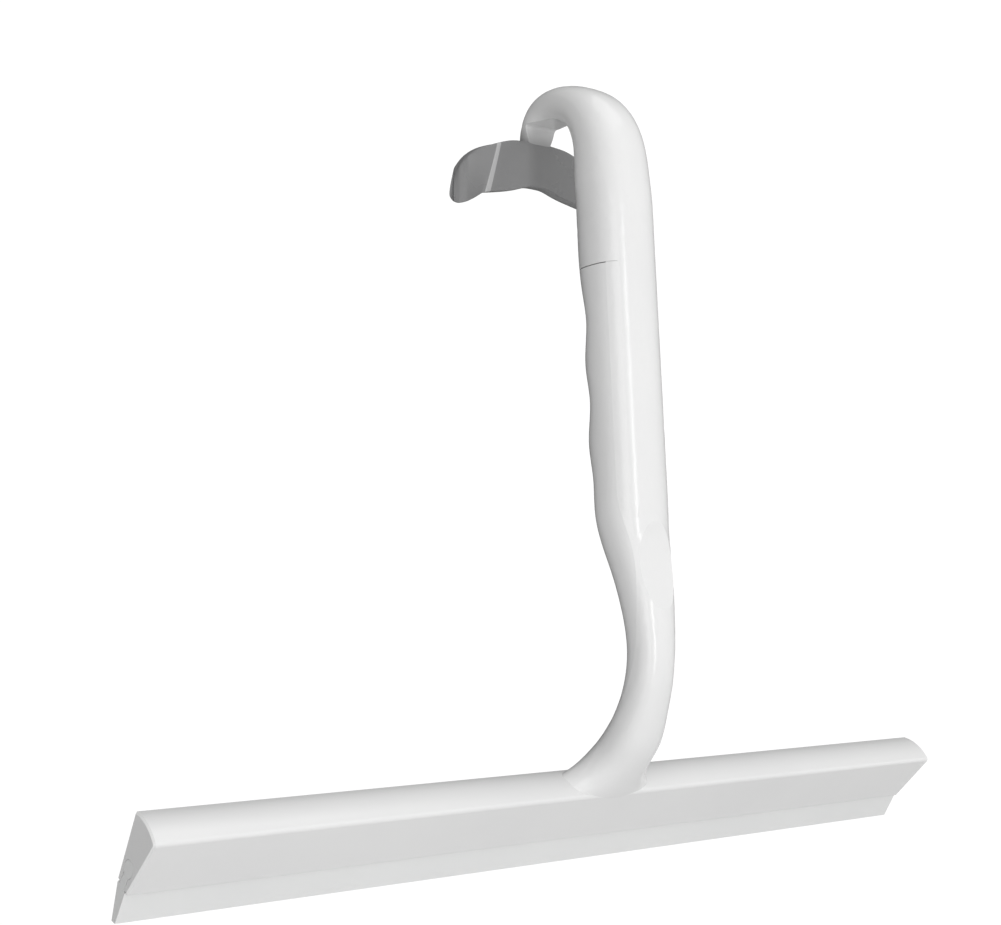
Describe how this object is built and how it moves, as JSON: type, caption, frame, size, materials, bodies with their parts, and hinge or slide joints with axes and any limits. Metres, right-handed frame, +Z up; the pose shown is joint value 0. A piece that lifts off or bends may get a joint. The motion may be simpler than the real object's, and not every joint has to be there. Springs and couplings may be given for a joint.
{
  "type": "window squeegee",
  "caption": "Window squeegee with a waved grip, a wedge-shaped head that holds a soft wiper blade, and a hook with a padded wing that hangs it on the top edge of a glass panel.",
  "frame": {"origin": "middle of the flat seat under the hook, where the top edge of the glass bears", "axes": "+X along the wiper blade, +Y from the handle towards the glass, +Z up as the tool hangs"},
  "size_m": [0.25, 0.0577, 0.197],
  "materials": {
    "white_abs": "gloss",
    "clear_silicone": "satin",
    "grey_tpe": "satin"
  },
  "bodies": {
    "tool": {"main_body": "white_abs", "grip_cover": "white_abs", "head_strip": "white_abs", "hook_pad": "grey_tpe"},
    "blade": {"wiper_blade": "clear_silicone"}
  },
  "joints": [
    {"name": "blade_slide", "type": "slide", "parent": "tool", "child": "blade", "axis": [1, 0, 0], "range_m": [-0.24, 0.24]}
  ]
}
